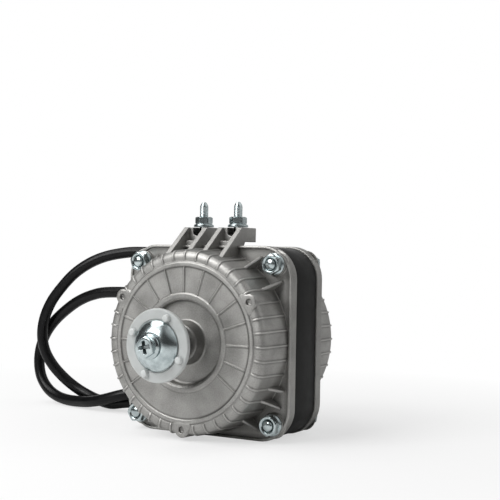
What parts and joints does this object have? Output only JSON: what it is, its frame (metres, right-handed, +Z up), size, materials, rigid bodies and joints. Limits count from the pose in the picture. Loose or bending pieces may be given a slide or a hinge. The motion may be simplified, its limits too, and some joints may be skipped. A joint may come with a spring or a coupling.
{
  "type": "shaded-pole fan motor",
  "caption": "Square shaded-pole fan motor with ribbed die-cast drums, a T-slotted bracket platform, a nylon fan hub on its shaft and a looped supply lead.",
  "frame": {"origin": "centre of the motor without its lead, at the height of the flat lower flange edges it stands on", "axes": "+Z up through the bracket platform, -Y along the shaft towards the fan hub, +X to the right as seen from the hub"},
  "size_m": [0.1743, 0.1189, 0.1036],
  "materials": {
    "cast_aluminium": "satin as-cast",
    "black_stack": "satin black paint over laminations",
    "zinc_plate": "bright zinc plate",
    "steel": "ground",
    "sintered_bronze": "matt sintered",
    "copper": "enamelled",
    "white_nylon": "slightly glossy moulding",
    "felt": "oiled felt",
    "black_rubber": "matt",
    "lead_sheath": "satin",
    "brown_insulation": "satin",
    "blue_insulation": "satin",
    "earth_insulation": "satin"
  },
  "bodies": {
    "housing": {"blue_core": "blue_insulation", "blue_ferrule": "zinc_plate", "bobbin_1": "white_nylon", "bobbin_2": "white_nylon", "bobbin_3": "white_nylon", "bobbin_4": "white_nylon", "brown_core": "brown_insulation", "brown_ferrule": "zinc_plate", "cable_gland": "black_rubber", "earth_core": "earth_insulation", "earth_ferrule": "zinc_plate", "flange_nut_1": "zinc_plate", "flange_nut_2": "zinc_plate", "flange_nut_3": "zinc_plate", "flange_nut_4": "zinc_plate", "front_bearing": "sintered_bronze", "front_bearing_clip": "steel", "front_oil_felt": "felt", "front_shield": "cast_aluminium", "power_lead": "lead_sheath", "rear_bearing": "sintered_bronze", "rear_bearing_clip": "steel", "rear_oil_felt": "felt", "rear_shield": "cast_aluminium", "shading_band_1": "copper", "shading_band_2": "copper", "shading_band_3": "copper", "shading_band_4": "copper", "slot_bolt_1": "zinc_plate", "slot_bolt_2": "zinc_plate", "slot_nut_1": "zinc_plate", "slot_nut_2": "zinc_plate", "stator_stack": "black_stack", "through_bolt_1": "zinc_plate", "through_bolt_2": "zinc_plate", "through_bolt_3": "zinc_plate", "through_bolt_4": "zinc_plate", "winding_1": "copper", "winding_2": "copper", "winding_3": "copper", "winding_4": "copper"},
    "rotor": {"shaft": "steel", "rotor_core": "steel", "rotor_cage": "cast_aluminium", "front_thrust_washer": "white_nylon", "rear_thrust_washer": "white_nylon", "hub": "white_nylon", "hub_washer": "zinc_plate", "hub_screw": "zinc_plate"}
  },
  "joints": [
    {"name": "rotor_spin", "type": "hinge", "parent": "housing", "child": "rotor", "pos_m": [0, 0, 0.042], "axis": [0, 1, 0], "continuous": true}
  ]
}
